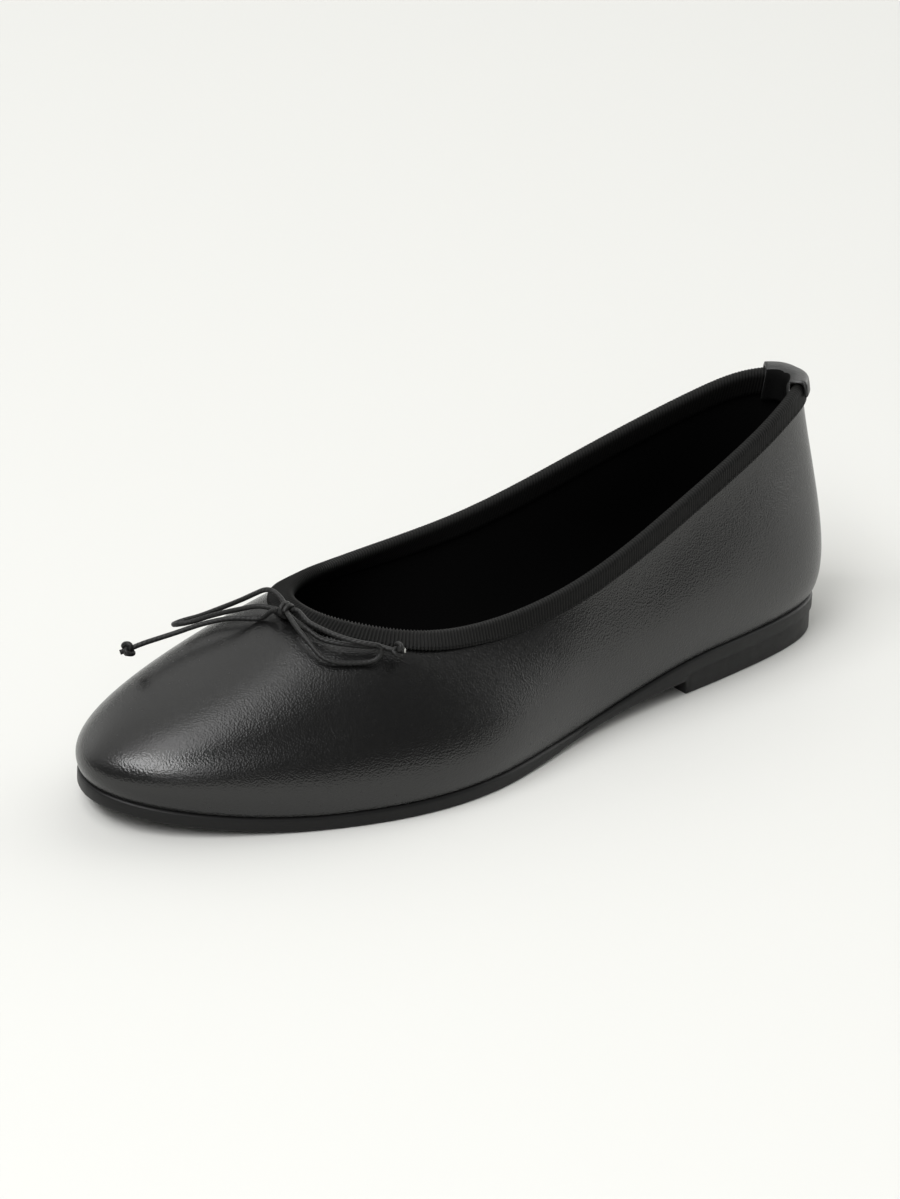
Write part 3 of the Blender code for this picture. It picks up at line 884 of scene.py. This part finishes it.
def make_camera():
    """Camera at the photo's place, aimed at the shoe and a little closer in."""
    camera = bpy.data.objects.new("camera", bpy.data.cameras.new("camera"))
    bpy.context.scene.collection.objects.link(camera)
    back = (EYE - AIM).normalized()
    right = Vector((0, 0, 1)).cross(back).normalized()
    up = back.cross(right)
    turned = right * math.cos(ROLL) + up * math.sin(ROLL)
    upright = up * math.cos(ROLL) - right * math.sin(ROLL)
    camera.matrix_world = Matrix((turned, upright, back)).transposed().to_4x4()
    camera.location = EYE
    camera.data.sensor_width = SENSOR
    camera.data.lens = FOCAL_PIXELS * CLOSER / FRAME_HEIGHT * SENSOR
    camera.data.clip_start = 0.05
    bpy.context.scene.camera = camera


def towards(azimuth, elevation):
    """Direction from the shoe. Azimuth 0 is in front of the toe, 90 on the outer side."""
    turn, rise = math.radians(azimuth), math.radians(elevation)
    return Vector((math.sin(turn) * math.cos(rise), -math.cos(turn) * math.cos(rise), math.sin(rise)))


def panel(name, azimuth, elevation, roll, distance, width, height, power):
    """Soft light panel that faces the shoe."""
    light = bpy.data.lights.new(name, "AREA")
    light.shape = "RECTANGLE"
    light.size = width
    light.size_y = height
    light.energy = power
    holder = bpy.data.objects.new(name, light)
    bpy.context.scene.collection.objects.link(holder)
    way = towards(azimuth, elevation)
    holder.location = way * distance
    facing = way.to_track_quat("Z", "Y").to_matrix() @ Matrix.Rotation(math.radians(roll), 3, "Z")
    holder.rotation_euler = facing.to_euler()


def make_surroundings():
    """White surroundings, brighter or darker towards some sides."""
    world = bpy.data.worlds.new("studio")
    bpy.context.scene.world = world
    world.use_nodes = True
    nodes, links = world.node_tree.nodes, world.node_tree.links
    way = nodes.new("ShaderNodeTexCoord").outputs["Generated"]
    level = None
    for azimuth, elevation, spread, change in SURROUNDINGS:
        facing = nodes.new("ShaderNodeVectorMath")
        facing.operation = "DOT_PRODUCT"
        facing.inputs[1].default_value = towards(azimuth, elevation)
        links.new(way, facing.inputs[0])
        lobe = nodes.new("ShaderNodeMapRange")
        lobe.interpolation_type = "SMOOTHSTEP"
        lobe.inputs["From Min"].default_value = math.cos(math.radians(spread))
        lobe.inputs["To Max"].default_value = change
        links.new(facing.outputs["Value"], lobe.inputs["Value"])
        total = nodes.new("ShaderNodeMath")
        total.inputs[0].default_value = SURROUNDING_LIGHT
        if level:
            links.new(level, total.inputs[0])
        links.new(lobe.outputs["Result"], total.inputs[1])
        level = total.outputs[0]
    nodes["Background"].inputs["Color"].default_value = (*SKY_WHITE, 1)
    links.new(level, nodes["Background"].inputs["Strength"])


def make_studio():
    """Surroundings, light panels and a plain floor."""
    make_surroundings()
    for row in PANELS:
        panel(*row)
    floor_mesh = bpy.data.meshes.new("floor")
    reach = FLOOR_REACH
    floor_mesh.from_pydata([(-reach, -reach, 0), (reach, -reach, 0), (reach, reach, 0), (-reach, reach, 0)],
                           [], [(0, 1, 2, 3)])
    paper = Finish("paper", PAPER, 0.9, Specular_IOR_Level=0.1)
    floor_mesh.materials.append(paper.material)
    floor = bpy.data.objects.new("floor", floor_mesh)
    bpy.context.scene.collection.objects.link(floor)
    scene = bpy.context.scene
    scene.view_settings.view_transform = "Standard"
    scene.view_settings.look = "None"


# Pieces

def make_bow(cord_finish, core_finish):
    """The bow's cord: loops and ends as free cords, their knots wound over them."""
    for name, *row in KNOTS:
        if name == "bow_knot":
            sections = tube_sections(winding(*row), CORD / 2, KNOT_SIDES)
            skin(name + "_wound", sections, False, [cord_finish])
        else:
            sections = tube_sections(overhand(*row[:2]), CORD / 2, KNOT_SIDES)
            skin(name + "_tied", sections[:-1], True, [cord_finish])
        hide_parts(name)
    strands = [("bow_loop_out", LOOP_OUT, ["bow_knot"]), ("bow_loop_in", LOOP_IN, []),
               ("bow_end_out", END_OUT, ["end_knot_out"]), ("bow_end_in", END_IN, ["end_knot_in"])]
    for name, rows, carried in strands:
        is_loop = "loop" in name
        hidden = [inside_knot(rows[-1])] if is_loop else []
        points = smooth_route([inside_knot(rows[0])] + rows + hidden, STRAND_STEP)
        sections = tube_sections(points, CORD / 2, STRAND_SIDES)
        strand = skin(name + "_cord", sections, False, [cord_finish, core_finish],
                      cut_end=0 if is_loop else 1)
        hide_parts(name)


def make_upper(outside, lining):
    """Leather wall with its rolled topline, its lining and the margin turned in at the foot."""
    count = UPPER_SECTIONS
    turn = np.arange(count) / count
    shares = np.linspace(0, 1, UPPER_ROWS) ** ROW_CROWDING
    heights = sole_top(-inset_outline(turn, FEATHER_INSET)[:, 1]) + GAP
    outer = [wall_point(turn, np.full(count, share)) for share in shares[:-1]]
    inner = []
    for share in shares[-3:1:-2]:
        point, normal, _ = wall_frame(turn, np.full(count, share))
        inner.append(point - normal * WALL)
    corner = raised(inset_outline(turn, FEATHER_INSET + WALL), heights + WALL)
    edge = inset_outline(turn, FEATHER_INSET + MARGIN)
    edge_height = sole_top(-edge[:, 1]) + GAP
    over = list(over_topline(turn, WALL / 2, RIM_POINTS))
    foot = raised(inset_outline(turn, FEATHER_INSET), heights - TUCK)
    loop = [raised(edge, edge_height), foot] + outer + over + inner
    loop += [corner, raised(edge, edge_height + WALL)]
    rows = np.array([0] * (len(outer) + 2 + len(over)) + [1] * (len(inner) + 2))
    upper = skin("upper_leather", np.stack(loop, 1), True, [outside, lining], rows)
    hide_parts("upper")


def make_outsole(side, under):
    """Rubber sole with its heel block, rounded edges and a tread of its own finish."""
    alongs = np.append(rows_along(SOLE_ROWS, CROWDING), [END_ROW, LENGTH - END_ROW])
    alongs = alongs[np.abs(alongs - BLOCK_LENGTH) > BREAST_CLEAR]
    alongs = np.sort(np.append(alongs, [BLOCK_LENGTH - BREAST_SLOPE, BLOCK_LENGTH]))
    turn = paired_turns(alongs)
    along = -plan(turn, 0)[:, 1]
    top = sole_top(along)
    on_block = along < BLOCK_LENGTH - BREAST_SLOPE / 2
    bottom = np.where(on_block, 0, sole_underside(along))
    band = np.where(on_block, top - TREAD, bottom + 2.5 * EDGE_ROUND)
    step = np.where(on_block, BLOCK_STEP, 0)
    none = 0 * step
    levels = [(none + EDGE_ROUND, top), (none + EDGE_ROUND * 0.3, top - EDGE_ROUND * 0.3),
              (none, top - EDGE_ROUND), (none, band + EDGE_ROUND * 0.3), (step * 0.3, band),
              (step, band - EDGE_ROUND * 0.4), (step, bottom + EDGE_ROUND),
              (step + EDGE_ROUND * 0.3, bottom + EDGE_ROUND * 0.3), (step + EDGE_ROUND, bottom)]
    rings = [raised(inset_outline(turn, inset[:, None]), height) for inset, height in levels]
    sole = stacked("outsole_rubber", np.stack(rings), [side, under], 1)
    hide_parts("outsole")


def make_insole(finish):
    """Insole with a soft edge, and the filler below it."""
    turn = paired_turns(rows_along(INSOLE_ROWS, 1.0))
    plate = FEATHER_INSET + WALL + GAP * 2
    filler = FEATHER_INSET + MARGIN + GAP * 2
    seat = GAP * 2 + WALL
    levels = [(plate + 1.0 * MM, seat + INSOLE), (plate + 0.3 * MM, seat + INSOLE - 0.3 * MM),
              (plate, seat + INSOLE - 1.0 * MM), (plate, seat), (filler, seat), (filler, GAP)]
    rings = []
    for inset, lift in levels:
        flat = inset_outline(turn, inset)
        rings.append(raised(flat, sole_top(-flat[:, 1]) + lift))
    insole = stacked("insole_lining", np.stack(rings), [finish])
    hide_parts("insole")


def make_binding(finish, thread):
    """Ribbon over the topline with its ribs, gathered at the throat, and the stitches along its edge."""
    fine = np.linspace(0, 1, 2000)
    ridge = over_topline(fine, WALL / 2, 3)[1]
    walked = np.concatenate([[0], np.cumsum(np.linalg.norm(np.diff(ridge, axis=0), axis=1))])
    ribs = round(walked[-1] / RIB_PITCH)
    count = ribs * RIB_SECTIONS
    turn = np.interp(np.arange(count) / count * walked[-1], walked, fine)
    sections = strip_sections(turn, GAP, BINDING, binding_outside(turn), BINDING_INSIDE, BINDING_STEPS)
    plain = skin("binding_plain", sections, True, [finish], around=ribs * RIB_PITCH)
    size = sections.shape[1]
    along = np.repeat(np.arange(count) / RIB_SECTIONS * RIB_PITCH, size)
    topline = -wall_point(turn, np.ones(count))[:, 1]
    gathered = eased((topline / LENGTH - GATHER_START) / GATHER_RUN)
    for label, values in (("along_ribbon", along), ("gathered", np.repeat(gathered, size))):
        layer = plain.data.attributes.new(label, "FLOAT", "POINT")
        layer.data.foreach_set("value", values)
    ribbon_piece = grown("binding_ribbon", plain, rib_tree(finish), RIB_SIZES)
    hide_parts("topline_binding")

    turn = np.arange(SEAM_POINTS) / SEAM_POINTS
    share = share_below_topline(turn, binding_outside(turn) - STITCH_INSET)
    point, normal, _ = wall_frame(turn, share)
    seam = line_object("binding_seam", point + normal * (GAP + BINDING + THREAD * 0.2), True)
    stitches = grown("binding_stitches", seam, stitch_tree(thread), STITCH_SIZES)


def make_tab(finish, lining):
    """Leather strip folded over the binding at the back; its inner limb is given a near-black cloth finish as
    painted shade inside the heel.
    """
    fine = np.linspace(-TAB_REACH, TAB_REACH, 241)
    side = wall_point(fine, np.ones_like(fine))[:, 0]
    half = TAB_WIDTH / 2
    turn = np.interp(np.linspace(-half, half, TAB_SECTIONS), side, fine)
    sections = strip_sections(turn, BINDING + GAP * 2, TAB, TAB_OUTSIDE, TAB_INSIDE, TAB_STEPS,
                              TAB_SQUARE)
    row = np.arange(sections.shape[1])
    # Rows of the inner limb take the near-black finish: painted shade inside the heel.
    inner = ((row > TAB_STEPS + 0.7 * FOLD) & (row <= 3 * TAB_STEPS + FOLD + 1)).astype(int)
    tab = skin("heel_tab_strip", sections, False, [finish, lining], inner)
    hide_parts("heel_tab")


make_camera()
make_bow(braid("cord_braid", CORD_BLACK), cloth("cord_core", CORE_WHITE, 0.8, 0.3 * MM))
make_studio()
make_upper(leather("black_leather", LEATHER_BLACK, 0.24), cloth("black_lining", LINING_BLACK, 0.9, 0.35 * MM))
make_outsole(rubber("black_rubber", RUBBER_BLACK, 0.46), rubber("black_tread", TREAD_BLACK, 0.55, True))
make_insole(cloth("insole_cloth", LINING_BLACK, 0.92, 0.35 * MM))
make_binding(ribbon("black_ribbon", RIB_HOLLOW_PAINTED_SHADE, RIB_TOP_PAINTED_LIGHT), cloth("black_thread", THREAD_BLACK, 0.6, 0.2 * MM))
make_tab(leather("tab_leather", TAB_BLACK, 0.42), cloth("tab_inner_painted_shade", TAB_INNER_PAINTED_SHADE, 0.9, 0.35 * MM))
